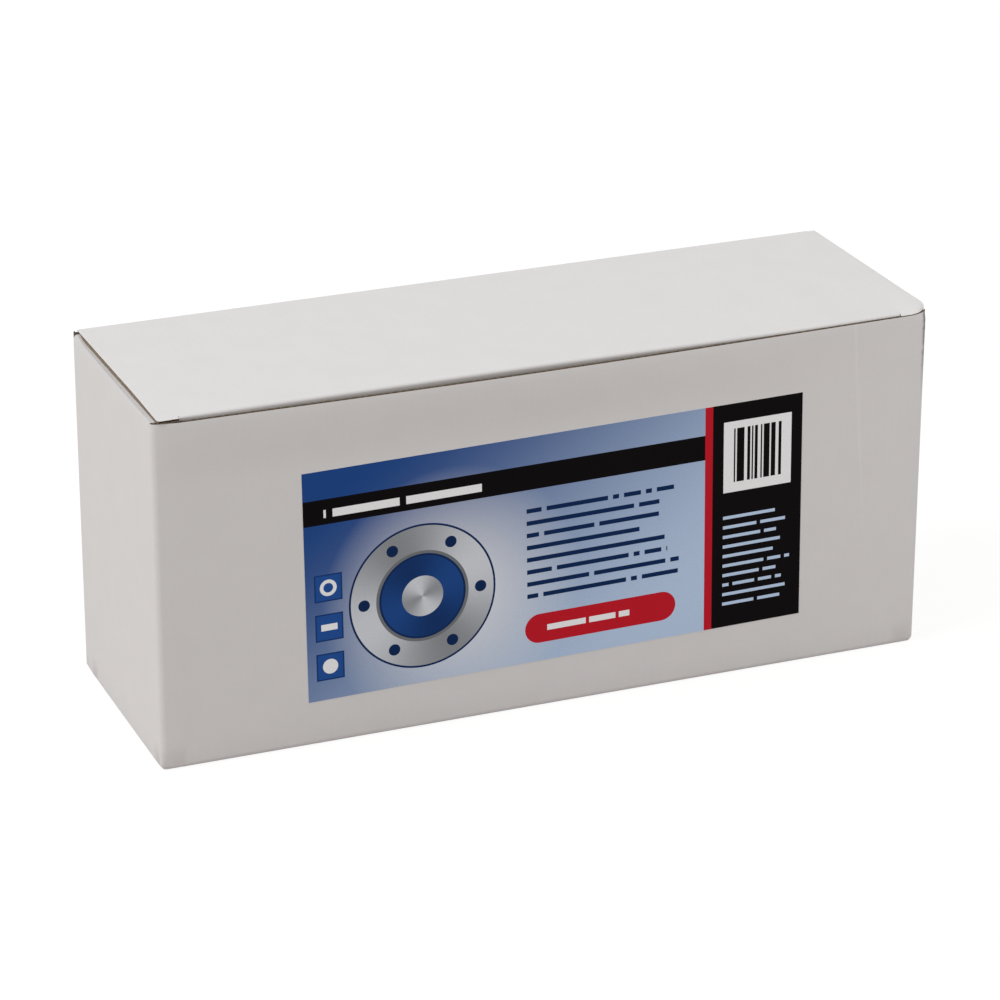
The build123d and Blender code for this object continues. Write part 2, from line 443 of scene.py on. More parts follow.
# From where to where along the lid it comes to be pressed, and along its fold to droop and to be drawn
# back, and where both fade again
PRESSED_RUN = (0.6 * TUCK_START, TUCK_START)
DROOP_RUN = (-0.28 * TUCK_HALF, 0.94 * TUCK_HALF)
BACK_RUN = (0.65 * TUCK_HALF, TUCK_HALF)
CORNER_RUN = (TUCK_HALF, TUCK_HALF + 9.0 * MM)
LIFT_FADE = (BODY_TOP, BODY_TOP + 3.0 * MM)  # flat heights on the dust flap between which the lift fades
BOW_POWER = 1.3  # over 1, the bow is flatter at its ends
BOW_SHOULDER = 9.0 * MM  # how far from the left corner the tuck flap's push on the front panel is whole


def front_bow(x, height, settings):
    """How far the front panel stands out.

    Along the panel it is a power of half a sine wave, and a push that falls evenly from the left
    corner to nothing at the right one. Both fade down the panel by an S.
    """
    share = np.clip(x / (2 * HALF_LENGTH) + 0.5, 0, 1)
    hump = settings.front_bow * np.sin(math.pi * share) ** BOW_POWER
    push = settings.front_push * (1 - share) * eased(x + HALF_LENGTH - FOLD_OUTER, 0.0, BOW_SHOULDER)
    return (hump + push) * eased(height, FRONT_TOP - settings.bow_depth, FRONT_TOP)


def body_place(across, height, out, settings):
    """Where a point of the flat body sheet goes.

    The length across picks a point and an outward direction on the walls' plan, and the height
    picks how far out of the wall and how high it is on the fold line of the flap there. Between
    the flaps it is on the front shoulder's line, which rounds the carton's feet. The end panels'
    top folds dip by half a sine wave, and the left one is lifted to the back corner by an S. The
    front panel's top right corner is crushed thin from both sides, by an S up and one along.
    """
    plan_x, plan_y = WALLS.at(across, np.zeros_like(across))
    heading = np.interp(across, WALLS.along, WALLS.heading)
    panel = np.searchsorted([np.mean(WALLS.arc(k)) for k in range(4)], across)
    front_x = across - FRONT_ZERO
    end_y = np.where(panel == 2, LEFT_ZERO - across, across - RIGHT_ZERO)
    low_down = height < BODY_TOP / 2
    past = np.where(low_down, END_FLAP_BACK, FLAP_HALF) + SLOT_CUT / 2
    on_end = ((panel == 2) | (panel == 4)) & (end_y > -FLAP_HALF - SLOT_CUT / 2) & (end_y < past)
    on_back = (panel == 1) & (np.abs(across - BACK_ZERO) < FLAP_END + SLOT_CUT / 2)
    on_front = (panel == 3) & (np.abs(front_x) < FLAP_END + SLOT_CUT / 2)
    on_tongue = np.abs(front_x) < TONGUE_HALF + TONGUE_GAP / 2
    aside = np.abs(across - np.mean(WALLS.arc(3)))
    crush = eased(height, BODY_TOP - CRUSH_DEPTH, BODY_TOP) * (1 - eased(aside, *CRUSH_RUN))
    crush = np.where(on_end, 0.0, crush)
    out = BOARD / 2 - CRUSH_INWARD * crush - (BOARD / 2 - out) * (1 - CORNER_CRUSH * crush)
    away, up = SHOULDER_LINE.on(height, out)
    for line, mine in (
        (BACK_LINE, on_back),
        (END_LINE, on_end),
        (TONGUE_LINE, on_front & on_tongue),
    ):
        line_away, line_up = line.on(height, out)
        away = np.where(mine, line_away, away)
        up = np.where(mine, line_up, up)
    away = away + np.where(panel == 3, front_bow(front_x, height, settings), 0.0)
    dip = settings.end_dip * np.cos(math.pi * np.clip(end_y / (2 * FLAP_HALF), -0.5, 0.5))
    up = up - np.where(on_end, dip * eased(height, BODY_TOP - settings.bow_depth, BODY_TOP), 0.0)
    lift = HEEL_LIFT * (1 - eased(FLAP_HALF - end_y, 0.0, HEEL_RUN))
    lift = lift * eased(height, BODY_TOP - HEEL_RUN, DUST_LEVEL) * (1 - eased(height, *LIFT_FADE))
    up = up + np.where(on_end & (panel == 2), lift, 0.0)
    return np.stack([plan_x + away * np.sin(heading), plan_y - away * np.cos(heading), up], axis=-1)


def lid_place(across, along, out, settings):
    """Where a point of the flat lid goes: along its fold line from the hinge, and across to -X.

    The corners beyond the slits have no fold. Towards its fold the lid droops by an S to the right,
    and is drawn back there, where the front panel gives way least. Near both front corners the
    board is worn thin from above, by an S of the distance from the worn place, and the right one's
    front edge is rolled down by the square of the share of the way to its rounded outline.
    """
    corner = np.abs(across) > TUCK_HALF + SAME
    worn = np.zeros_like(across)
    for (x, edge), wear, reach in zip(WORN_PLACES, settings.corner_wear, WORN_REACHES):
        away = np.hypot(across + x, along - (HINGE_Y - edge))
        worn = np.maximum(worn, wear * (1 - eased(away, 0.0, reach)))
    rounding = LID_CORNERS[0]
    beside = np.maximum(rounding - LID_FRONTS[0] - across, 0)
    brim = HINGE_Y - LID_EDGES[0] - rounding + np.sqrt(np.maximum(rounding**2 - beside**2, 0))
    share = FRONT_ROLLS[0] + (FRONT_ROLLS[1] - FRONT_ROLLS[0]) * eased(-across, *CORNER_RUN)
    rolled = share * np.clip((along - brim) / ROLL_RUN + 1, 0, 1) ** 2
    worn = np.where(corner & (across < 0), np.maximum(worn, rolled), worn)
    out = (out + BOARD / 2) * (1 - worn) - BOARD / 2
    flat_y, flat_z = LID_FLAT.at(along, out)
    y, z = LID_LINE.at(along, out)
    y = np.where(corner, flat_y, y)
    z = np.where(corner, flat_z, z)
    pressed = eased(along, *PRESSED_RUN) * (1 - eased(-across, *CORNER_RUN))
    y = y + settings.fold_back * pressed * eased(-across, *BACK_RUN)
    z = z - settings.lid_droop * pressed * eased(-across, *DROOP_RUN)
    return np.stack([-across, y, z], axis=-1)


def rounded_loop(points):
    """Closed outline through (across, up, radius) corners, each turned on an arc of its radius."""
    points = np.array(points, float)
    start = (points[0] + points[-1]) / 2
    corners = np.concatenate([start[None, :2], points[:, :2], start[None, :2]])
    loop = FoldLine(corners, points[:, 2]).place[:-1]
    step = np.linalg.norm(loop - np.roll(loop, 1, axis=0), axis=1)
    return loop[step > 1e-7]


def slot_side(far, near):
    """Corners of a bottom flap's slot, from the wall's edge beyond it to the flap's root."""
    return [(far, SLOT_RISE, 0), (far, SLOT_HEIGHT, 0), (near, SLOT_HEIGHT, 0)]


def moved(points, zero, side=1):
    """Corners counted from a panel's middle, mirrored where side is -1."""
    return [(zero + side * across, up, radius) for across, up, radius in points]


def body_outline():
    """Outline of the flat body sheet, clockwise with its outside up: top edges, then bottom ones.

    Corners are (length across, flat height, radius). The panels come in the order glue tab, back,
    left end, front and right end.
    """
    top_root = DUST_LEVEL - DUST_CREASE
    slot = FLAP_HALF + SLOT_CUT
    shoulder = END_LINE.over(SHOULDER_END - END_MID)
    dust_tip = END_LINE.over(DUST_TIP - END_MID)
    dust = [
        (FLAP_HALF, top_root, 0),
        (FLAP_HALF, shoulder, 0),
        (FLAP_HALF - DUST_TAPER, dust_tip, DUST_CORNER),
        (DUST_FRONT + DUST_TAPER, dust_tip, DUST_CORNER),
        (DUST_FRONT, shoulder, 0),
        (-FLAP_HALF, shoulder, 0),
        (-FLAP_HALF, top_root, 0),
        (-slot, top_root, 0),
    ]
    flap_root = END_LINE.under(FLAP_END - END_MID)
    flap_tip = END_LINE.under(END_TIP - END_MID)
    end_flap = slot_side(-slot, -FLAP_HALF) + [
        (-FLAP_HALF, flap_root, 0),
        (END_FLAP_FRONT - FLAP_HALF, flap_tip, FREE_CORNER),
        (END_FLAP_BACK - END_FLAP_SLANT, flap_tip, FREE_CORNER),
        (END_FLAP_BACK, flap_root, 0),
    ]
    end_flap += slot_side(END_FLAP_BACK + SLOT_CUT, END_FLAP_BACK)[::-1]
    beside = slot_side(FLAP_END + SLOT_CUT, FLAP_END)
    shoulder_tip = SHOULDER_LINE.under(-WALL_MID)
    tongue_root = SHOULDER_LINE.under(TONGUE_ROOT - WALL_MID)
    half_front = beside + [
        (FLAP_END, shoulder_tip, FREE_CORNER),
        (BESIDE_TONGUE, shoulder_tip, FREE_CORNER),
        (BESIDE_TONGUE, tongue_root, 0),
        (TONGUE_HALF, tongue_root, 0),
        (TONGUE_HALF, TONGUE_LINE.under(-TONGUE_REACH - WALL_MID), FREE_CORNER),
    ]
    lobe_tip = BACK_LINE.under(-LOBE_REACH - WALL_MID)
    half_back = beside + [
        (FLAP_END, lobe_tip, FREE_CORNER),
        (BESIDE_TONGUE, lobe_tip, FREE_CORNER),
        (BESIDE_TONGUE, BACK_LINE.under(NOTCH_EDGE - WALL_MID), 0),
    ]
    tab_fold = WALLS.arc(0)[0]
    outline = [(0, BODY_TOP - TAB_TRIM, 0), (tab_fold, BODY_TOP - TAB_TRIM, 0), (tab_fold, BODY_TOP, 0)]
    heel = WALLS.arc(1)[0] + 2 * TOP_CORNER
    outline += [(heel, BODY_TOP, 0), (heel, BODY_TOP + HEEL_RISE, TOP_CORNER / 2)]
    outline += [(LEFT_ZERO - slot, BODY_TOP + HEEL_RISE, TOP_CORNER), (LEFT_ZERO - slot, top_root, 0)]
    outline += moved(dust, LEFT_ZERO, -1)
    outline.append((LEFT_ZERO + slot, FRONT_TOP, TOP_CORNER))
    outline.append((FRONT_ZERO + RISE_FROM, FRONT_TOP, RISE_ROUND))
    outline.append((RIGHT_ZERO - slot, BODY_TOP + CORNER_RISE, TOP_CORNER))
    outline += moved(dust[::-1], RIGHT_ZERO)
    outline += [(WALLS.length, top_root, 0), (WALLS.length, SLOT_RISE, 0)]
    outline += moved(end_flap[::-1], RIGHT_ZERO)
    outline += moved(half_front, FRONT_ZERO)
    outline += moved(half_front[::-1], FRONT_ZERO, -1)
    outline += moved(end_flap, LEFT_ZERO, -1)
    outline += moved(half_back, BACK_ZERO)
    outline += moved(half_back[::-1], BACK_ZERO, -1)
    outline += [(tab_fold, SLOT_RISE, 0), (tab_fold, TAB_TRIM, 0), (0, TAB_TRIM, 0)]
    return rounded_loop(drop_repeats(outline))


def drop_repeats(points):
    """The corners without any that stands on the one before it."""
    kept = points[:1]
    for point in points[1:]:
        if math.dist(point[:2], kept[-1][:2]) > SAME:
            kept.append(point)
    return kept


def lid_outline():
    """Outline of the flat lid, clockwise with its outside up, from the hinge to the tuck flap."""
    sides = []
    shapes = zip(LID_BACKS, LID_FRONTS, LID_SPREADS, LID_EDGES, LID_CORNERS)
    for back, front, spread, edge, rounding in shapes:
        length = HINGE_Y - edge
        root = min(length, TUCK_START)
        waist = front - spread + (back - front + spread) * SPREAD_RUN / length
        sides.append(
            [
                (-back, 0, 0),
                (-waist, length - SPREAD_RUN, SPREAD_ROUND),
                (-front, length, rounding),
                (-TUCK_HALF - SLOT_CUT, length, 0),
                (-TUCK_HALF - SLOT_CUT, root, 0),
                (-TUCK_HALF, root, 0),
                (-TUCK_HALF, LID_LINE.length, TUCK_CORNER),
            ]
        )
    right, left = sides
    return rounded_loop(drop_repeats(right + moved(left[::-1], 0, -1)))


def spaced(start, end, step):
    """Even spacing from start to end, no wider than step."""
    return np.linspace(start, end, max(2, math.ceil((end - start) / step) + 1))


def body_grid():
    """Blocks of (lengths across, flat heights) that the body sheet is divided on, fold by fold."""
    wall_rows = spaced(FOLD_OUTER, BODY_TOP - FOLD_OUTER, PANEL_STEP)
    top_rows = spaced(BODY_TOP - 3 * PANEL_STEP, LIFT_FADE[1], PANEL_STEP / 4)
    blocks = []
    for corner in range(4):
        start, end = WALLS.arc(corner)
        blocks.append((np.linspace(start, end, ARC_STEPS + 1), np.concatenate([wall_rows, top_rows])))
    starts = [0.0] + [WALLS.arc(corner)[1] for corner in range(4)]
    ends = [WALLS.arc(corner)[0] for corner in range(4)] + [WALLS.length]
    line_rows = (None, BACK_LINE.rows, END_LINE.rows, TONGUE_LINE.rows, END_LINE.rows)
    for start, end, rows in zip(starts, ends, line_rows):
        columns = spaced(start, end, PANEL_STEP)[1:-1]
        if rows is None:
            blocks.append((columns, wall_rows))
            continue
        flap_rows = rows[(rows < FOLD_OUTER) | (rows > BODY_TOP - FOLD_OUTER)]
        below = spaced(rows[0], min(FOLD_OUTER, rows[ARC_STEPS]), PANEL_STEP)
        above = spaced(FRONT_TOP, max(rows[-1], FRONT_TOP + PANEL_STEP), PANEL_STEP)
        blocks.append((columns, np.concatenate([wall_rows, top_rows, flap_rows, below, above])))
    return blocks


def lid_grid():
    """Blocks of (across, along) that the lid is divided on."""
    arc_start, arc_end = LID_LINE.arc(0)
    ends = spaced(TUCK_HALF, max(LID_FRONTS), PANEL_STEP / 4)
    near = spaced(TUCK_HALF - PANEL_STEP, TUCK_HALF, PANEL_STEP / 8)
    across = np.concatenate([-ends, -near, spaced(-TUCK_HALF, TUCK_HALF, PANEL_STEP), near, ends])
    along = [
        spaced(0.0, arc_start, PANEL_STEP),
        np.linspace(arc_start, arc_end, ARC_STEPS + 1),
        spaced(arc_end, LID_LINE.length, PANEL_STEP),
    ]
    brim = spaced(HINGE_Y - LID_EDGES[0] - 2 * LID_CORNERS[0], HINGE_Y - LID_EDGES[0], PANEL_STEP / 8)
    return [(across, np.concatenate(along)), (-ends, brim)]


def divided_outline(outline, blocks):
    """The outline with a point wherever it crosses a line of the grid, so folds in it stay smooth."""
    lines_across = np.unique(np.concatenate([columns for columns, _ in blocks]).round(7))
    lines_up = np.unique(np.concatenate([rows for _, rows in blocks]).round(7))
    divided = []
    for start, end in zip(outline, np.roll(outline, -1, axis=0)):
        step = end - start
        shares = [np.zeros(1)]
        for lines, from_here, run in ((lines_across, start[0], step[0]), (lines_up, start[1], step[1])):
            if abs(run) > SAME:
                shares.append((lines - from_here) / run)
        shares = np.sort(np.concatenate(shares))
        length = np.linalg.norm(step)
        shares = shares[(shares >= 0) & (shares * length < max(length - FINEST, 1e-9))]
        keep = np.concatenate([[True], np.diff(shares) * length > FINEST])
        divided.append(start + shares[keep][:, None] * step)
    return np.concatenate(divided)


def inward_offsets(loop):
    """For each point of a clockwise loop, the step that moves both of its edges in by one."""
    ahead = np.roll(loop, -1, axis=0) - loop
    ahead /= np.linalg.norm(ahead, axis=1)[:, None]
    behind = np.roll(ahead, 1, axis=0)
    inward = np.stack([ahead[:, 1] + behind[:, 1], -ahead[:, 0] - behind[:, 0]], axis=1)
    stretch = 1 + np.sum(ahead * behind, axis=1)
    return inward / np.maximum(stretch, 0.5)[:, None]


def inside_loop(points, loop):
    """Which points lie inside the loop, by how many of its edges they see to their right."""
    start, end = loop, np.roll(loop, -1, axis=0)
    x, y = points[:, :1], points[:, 1:]
    spans = (start[:, 1] > y) != (end[:, 1] > y)
    rise = np.where(start[:, 1] == end[:, 1], 1.0, end[:, 1] - start[:, 1])
    cross = start[:, 0] + (y - start[:, 1]) / rise * (end[:, 0] - start[:, 0])
    return np.sum(spans & (x < cross), axis=1) % 2 == 1


def loop_distance(points, loop):
    """Distance from each point to the nearest edge of the loop."""
    nearest = np.full(len(points), np.inf)
    for start, end in zip(loop, np.roll(loop, -1, axis=0)):
        step = end - start
        share = np.clip((points - start) @ step / (step @ step), 0, 1)
        apart = points - start - share[:, None] * step
        nearest = np.minimum(nearest, np.einsum("ij,ij->i", apart, apart))
    return np.sqrt(nearest)


def trimmed_grid(outline, blocks):
    """Points and triangles of a flat sheet: a grid trimmed to the outline.

    The outline's points come first, then a ring just inside them, then the grid's own points.
    """
    ring = outline + inward_offsets(outline) * EDGE_REACH
    ring = ring[inside_loop(ring, outline)]
    ring = ring[loop_distance(ring, outline) > RING_CLEAR]
    lattice = np.concatenate(
        [np.stack(np.meshgrid(columns, rows), axis=-1).reshape(-1, 2) for columns, rows in blocks]
    )
    lattice = np.unique(lattice.round(7), axis=0)
    lattice = lattice[inside_loop(lattice, outline)]
    lattice = lattice[loop_distance(lattice, outline) > GRID_CLEAR]
    points = np.concatenate([outline, ring, lattice])
    count = len(outline)
    border = np.stack([np.arange(count), np.roll(np.arange(count), -1)], axis=1)
    made = delaunay_2d_cdt((points / MM).tolist(), border.tolist(), [list(range(count))[::-1]], 1, 1e-5)
    source = np.array([found[0] for found in made[3]])
    triangles = source[np.array(made[2])]
    corner = points[triangles]
    first, second = corner[:, 1] - corner[:, 0], corner[:, 2] - corner[:, 0]
    turned = first[:, 0] * second[:, 1] - first[:, 1] * second[:, 0] < 0
    triangles[turned] = triangles[turned][:, ::-1]
    pressed = np.zeros(len(points))
    pressed[:count] = 1.0
    return points, triangles, pressed


def loop_quads(first_row, second_row):
    """Quads between two closed rows of vertices, facing left of the first row's way."""
    return np.stack([first_row, np.roll(first_row, -1), np.roll(second_row, -1), second_row], axis=1)


def flute_band(outline, settings):
    """The waved sheet along a cut edge: flat points, heights in the board, and quads.

    Its height is a sine of the length across, so the wave shows where an edge cuts the flutes
    and is a straight line where an edge runs along one. Four rows close it round its thickness.
    """
    step = np.roll(outline, -1, axis=0) - outline
    shares = np.abs(step[:, 0]) / (settings.flute_pitch / FLUTE_STEPS) + np.abs(step[:, 1]) / ALONG_FLUTE
    walked = np.concatenate([[0.0], np.cumsum(shares)])
    count = math.ceil(walked[-1])
    at = np.linspace(0, walked[-1], count, endpoint=False)
    closed = np.concatenate([outline, outline[:1]])
    inward = inward_offsets(outline)
    inward = np.concatenate([inward, inward[:1]])
    path = np.stack([np.interp(at, walked, closed[:, k]) for k in (0, 1)], axis=1)
    offset = np.stack([np.interp(at, walked, inward[:, k]) for k in (0, 1)], axis=1)
    swing = BOARD / 2 - settings.liner - settings.medium / 2
    front = path + offset * WAVE_SETBACK
    back = path + offset * settings.edge_depth
    flat, height = [], []
    for edge, side in ((front, 1), (back, 1), (back, -1), (front, -1)):
        wave = swing * np.sin(2 * math.pi * edge[:, 0] / settings.flute_pitch)
        flat.append(edge)
        height.append(wave + side * settings.medium / 2)
    rows = np.arange(4 * count).reshape(4, count)
    quads = np.concatenate([loop_quads(rows[k], rows[(k + 1) % 4])[:, ::-1] for k in range(4)])
    return np.concatenate(flat), np.concatenate(height), quads


def board_mesh(name, outline, blocks, place, settings):
    """A sheet of fluted board: two faces, open cut edges between two liners, and the wave in them."""
    outline = divided_outline(outline, blocks)
    points, triangles, pressed = trimmed_grid(outline, blocks)
    count, edge = len(points), len(outline)
    half = BOARD / 2
    thickness = half * (1 - settings.edge_press * pressed)
    lip = half * (1 - settings.edge_press) - settings.liner
    deep = outline + inward_offsets(outline) * settings.edge_depth
    band, band_height, band_quads = flute_band(outline, settings)
    flat = np.concatenate([points, points, outline, deep, deep, outline, band])
    even = np.ones(edge)
    gap = half - settings.liner
    height = np.concatenate(
        [thickness, -thickness, lip * even, gap * even, -gap * even, -lip * even, band_height]
    )
    around = np.arange(edge)
    channel = 2 * count + edge * np.arange(4)[:, None] + around
    rows = [around, *channel, count + around]
    edges = np.concatenate([loop_quads(upper, lower) for upper, lower in zip(rows, rows[1:])])
    band_quads = band_quads + 2 * count + 4 * edge
    faces = [triangles, triangles[:, ::-1] + count, edges, band_quads]
    finish = np.repeat([0, 1, 2, 2], [len(part) for part in faces])
    vertices = place(flat[:, 0], flat[:, 1], height, settings)
    faces = sum((part.tolist() for part in faces), [])
    return mesh_object(name, vertices, faces, finish, flat, board_finishes(settings))


def mesh_object(name, vertices, faces, finish, flat, finishes, smooth=True):
    """An object at the origin from its vertices, faces and finishes, with its flat place as a UV map."""
    mesh = bpy.data.meshes.new(name)
    mesh.from_pydata(vertices, [], faces)
    mesh.polygons.foreach_set("material_index", np.asarray(finish, np.int32))
    mesh.polygons.foreach_set("use_smooth", np.full(len(mesh.polygons), smooth))
    corners = np.empty(len(mesh.loops), np.int32)
    mesh.loops.foreach_get("vertex_index", corners)
    layer = mesh.uv_layers.new(name=FLAT_MAP)
    layer.uv.foreach_set("vector", flat[corners].astype(np.float32).ravel())
    if mesh.validate():
        raise RuntimeError(f"{name} has faces that Blender can't keep")
    mesh.set_sharp_from_angle(angle=SHARP)
    for made in finishes:
        mesh.materials.append(made)
    piece = bpy.data.objects.new(name, mesh)
    bpy.context.scene.collection.objects.link(piece)
    return piece


class Nodes:
    """The nodes of a material or a sky: each call adds nodes and gives an output."""

    def __init__(self, owner):
        owner.use_nodes = True
        self.owner = owner
        self.tree = owner.node_tree

    def feed(self, socket, value):
        """Links an output to a socket, or sets the socket's own value."""
        if isinstance(value, bpy.types.NodeSocket):
            self.tree.links.new(value, socket)
        else:
            socket.default_value = value

    def node(self, kind, values=(), **settings):
        made = self.tree.nodes.new(kind)
        for name, value in settings.items():
            setattr(made, name, value)
        for socket, value in dict(values).items():
            self.feed(made.inputs[socket], value)
        return made

    def math(self, operation, *values):
        return self.node("ShaderNodeMath", enumerate(values), operation=operation).outputs[0]

    def shown_rays(self):
        """1 for rays that see the background: from the camera, in gloss and through glass."""
        path = self.node("ShaderNodeLightPath").outputs
        seen = self.math("MAXIMUM", path["Is Camera Ray"], path["Is Glossy Ray"])
        return self.math("MAXIMUM", seen, path["Is Transmission Ray"])

    def either(self, share, first, second):
        """The first shader, or the second where share is 1."""
        return self.node("ShaderNodeMixShader", {0: share, 1: first, 2: second}).outputs[0]

    def show(self, shader, output):
        """Links a shader to the output node of that name."""
        self.feed(self.tree.nodes[output].inputs["Surface"], shader)


class Finish(Nodes):
    """One material, patterned on its piece's flat place in metres."""

    def __init__(self, name):
        super().__init__(bpy.data.materials.new(name))
        self.shader = self.tree.nodes["Principled BSDF"]
        self.place = self.node("ShaderNodeUVMap", uv_map=FLAT_MAP).outputs[0]

    def split(self):
        """The flat place's length across and height."""
        return self.node("ShaderNodeSeparateXYZ", {0: self.place}).outputs[:2]

    def less(self, first, second):
        return self.math("SUBTRACT", first, second)

    def apart(self, first, second):
        """How far two values are from each other."""
        return self.math("ABSOLUTE", self.less(first, second))

    def times(self, product, *values):
        for value in values:
            product = self.math("MULTIPLY", product, value)
        return product

    def distance(self, across, up):
        squares = [self.math("POWER", side, 2.0) for side in (across, up)]
        return self.math("SQRT", self.math("ADD", *squares))

    def mix(self, share, first, second):
        """Colour between first and second."""
        made = self.node("ShaderNodeMix", {0: share, 6: first, 7: second}, data_type="RGBA")
        return made.outputs[2]

    def noise(self, scale, detail, stretch=1.0):
        """Noise over the flat place, its grains drawn out along the flutes by a stretch under 1."""
        place = self.place
        if stretch != 1.0:
            place = self.node("ShaderNodeMapping", {0: place, 3: (1.0, stretch, 1.0)}).outputs[0]
        values = {"Vector": place, "Scale": scale, "Detail": detail}
        return self.node("ShaderNodeTexNoise", values).outputs[0]

    def ramp(self, value, start, end, low=0.0, high=1.0, **settings):
        """From low to high as a value goes from start to end."""
        values = {0: value, 1: start, 2: end, 3: low, 4: high}
        return self.node("ShaderNodeMapRange", values, **settings).outputs[0]

    def ranged(self, value, low, high):
        """A value of about 0.3 to 0.7, as noise gives, spread from low to high."""
        return self.ramp(value, 0.3, 0.7, low, high)

    def finish(self, colour, relief, roughness, shine):
        """The material, with a bump whose height is in metres."""
        bump = self.node("ShaderNodeBump", {"Strength": 1.0, "Distance": 1.0, "Height": relief})
        for socket, value in (
            ("Base Color", colour),
            ("Normal", bump.outputs[0]),
            ("Roughness", roughness),
            ("Specular IOR Level", shine),
        ):
            self.feed(self.shader.inputs[socket], value)
        return self.owner


def scaled(colour, factor):
    """A colour made lighter or darker, with its alpha kept."""
    return (*[min(1.0, part * factor) for part in colour[:3]], 1.0)


# A faint lighter line on the front panel: where it would meet the floor, its slope, its half-width,
# between which heights it comes to show and how strongly
MARK_FOOT = 135.0 * MM
MARK_SLANT = 0.08
MARK_HALF = 0.9 * MM
MARK_RUN = (0.3 * BODY_TOP, 0.6 * BODY_TOP)
MARK_SHARE = 0.4
# A painted shade down the side of the upper right fold that turns from the light: from the fold's start,
# its half-width and how far that wanders, between which heights it comes to show and how strongly
FOLD_SHADE_MIDDLE = 1.05 * MM
FOLD_SHADE_HALF = 0.95 * MM
FOLD_SHADE_WANDER = 1.6 * FOLD_SHADE_HALF
FOLD_SHADE_RUN = (0.75 * BODY_TOP, 0.95 * BODY_TOP)
FOLD_SHADE_SHARE = 0.9
# Painted shade on the crease of a dust flap, dimming the highlight that the light puts there: its middle's
# flat height, and its half-width with and without its edge
CREASE_SHADE_MIDDLE = DUST_LEVEL + 0.15 * MM
CREASE_SHADE_WIDE = 0.65 * MM
CREASE_SHADE_FULL = 0.35 * MM


def board_outside(settings):
    """Grey-white liner: faint washboard, mottling, fibres, a faint lighter line, painted shade down the
    right fold and painted shade on the dust flaps' creases.
    """
    make = Finish("board_outside")
    liner = settings.outside
    across, height = make.split()
    wave = make.math("SINE", make.times(across, 2 * math.pi / settings.flute_pitch))
    fibre = make.noise(1800.0, 3.0, stretch=0.35)
    colour = make.mix(make.ranged(make.noise(70.0, 3.0), 0.0, 0.55), tuple(liner), scaled(liner, 0.955))
    colour = make.mix(make.ranged(fibre, 0.0, 0.35), colour, scaled(liner, 0.94))

    aside = make.math("MULTIPLY_ADD", height, MARK_SLANT, make.less(across, FRONT_ZERO + MARK_FOOT))
    on_mark = make.ramp(make.math("ABSOLUTE", aside), MARK_HALF, 0.0)
    mark = make.times(on_mark, make.ramp(height, *MARK_RUN, high=MARK_SHARE))
    colour = make.mix(mark, colour, scaled(liner, 1.1))

    # Painted shade down the side of the right fold that turns from the light, broken up by noise
    fold_shade_noise = make.noise(260.0, 4.0)
    apart = make.apart(across, WALLS.arc(3)[0] + FOLD_SHADE_MIDDLE)
    apart = make.math("MULTIPLY_ADD", make.less(fold_shade_noise, 0.5), FOLD_SHADE_WANDER, apart)
    on_fold = make.ramp(apart, FOLD_SHADE_HALF, 0.2 * FOLD_SHADE_HALF)
    near_top = make.ramp(height, *FOLD_SHADE_RUN, high=FOLD_SHADE_SHARE)
    painted_fold_shade = make.times(on_fold, near_top, make.ranged(fold_shade_noise, 1.2, 0.7))
    colour = make.mix(painted_fold_shade, colour, scaled(liner, 0.22))

    # Painted shade on the end panels' top creases, dimming the highlight that the light puts on them
    ends = [make.apart(across, zero) for zero in (LEFT_ZERO, RIGHT_ZERO)]
    on_end = make.math("LESS_THAN", make.math("MINIMUM", *ends), FLAP_HALF)
    on_crease_shade = make.ramp(make.apart(height, CREASE_SHADE_MIDDLE), CREASE_SHADE_WIDE, CREASE_SHADE_FULL)
    colour = make.mix(make.times(on_end, on_crease_shade), colour, scaled(liner, 0.82))
    relief = make.math("MULTIPLY_ADD", fibre, 0.010 * MM, make.times(wave, settings.washboard))
    return make.finish(colour, relief, make.ranged(fibre, 0.82, 0.95), 0.18)


def board_inside(settings):
    """Grey-brown recycled liner with darker flecks and fibres."""
    make = Finish("board_inside")
    liner = settings.inside
    fibre = make.noise(1500.0, 4.0, stretch=0.3)
    fleck = make.math("GREATER_THAN", make.noise(900.0, 1.0), 0.72)
    colour = make.mix(make.ranged(make.noise(90.0, 4.0), 0.0, 1.0), tuple(liner), scaled(liner, 0.86))
    colour = make.mix(make.ranged(fibre, 0.0, 0.5), colour, scaled(liner, 0.78))
    colour = make.mix(make.times(fleck, 0.5), colour, scaled(liner, 0.5))
    return make.finish(colour, make.times(fibre, 0.02 * MM), make.ranged(fibre, 0.85, 0.97), 0.12)


def board_core(settings):
    """Brown-grey waved sheet and cut edges, darker where fibres are torn."""
    make = Finish("board_core")
    torn = make.noise(1100.0, 4.0)
    colour = make.mix(make.ranged(torn, 0.0, 1.0), tuple(settings.core), scaled(settings.core, 0.6))
    return make.finish(colour, make.times(torn, 0.04 * MM), make.ranged(torn, 0.88, 0.98), 0.1)


def board_finishes(settings):
    """The three faces of the board, each made once under its maker's name and shared by the pieces."""
    makers = (board_outside, board_inside, board_core)
    return [bpy.data.materials.get(maker.__name__) or maker(settings) for maker in makers]


class CARTON_OT_body(bpy.types.Operator):
    """Fold the walls, glue tab, dust flaps and snap-lock bottom from one flat sheet"""

    bl_idname = "carton.body"
    bl_label = "Fold the body"

    def execute(self, context):
        settings = context.scene.carton_board
        piece = board_mesh("folded_body", body_outline(), body_grid(), body_place, settings)
        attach(piece, "carton")
        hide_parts("carton_body")
        return {"FINISHED"}


class CARTON_OT_lid(bpy.types.Operator):
    """Fold the lid and its tuck flap from one flat sheet"""

    bl_idname = "carton.lid"
    bl_label = "Fold the lid"

    def execute(self, context):
        settings = context.scene.carton_board
        piece = board_mesh("folded_lid", lid_outline(), lid_grid(), lid_place, settings)
        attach(piece, "lid")
        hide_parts("lid")
        return {"FINISHED"}


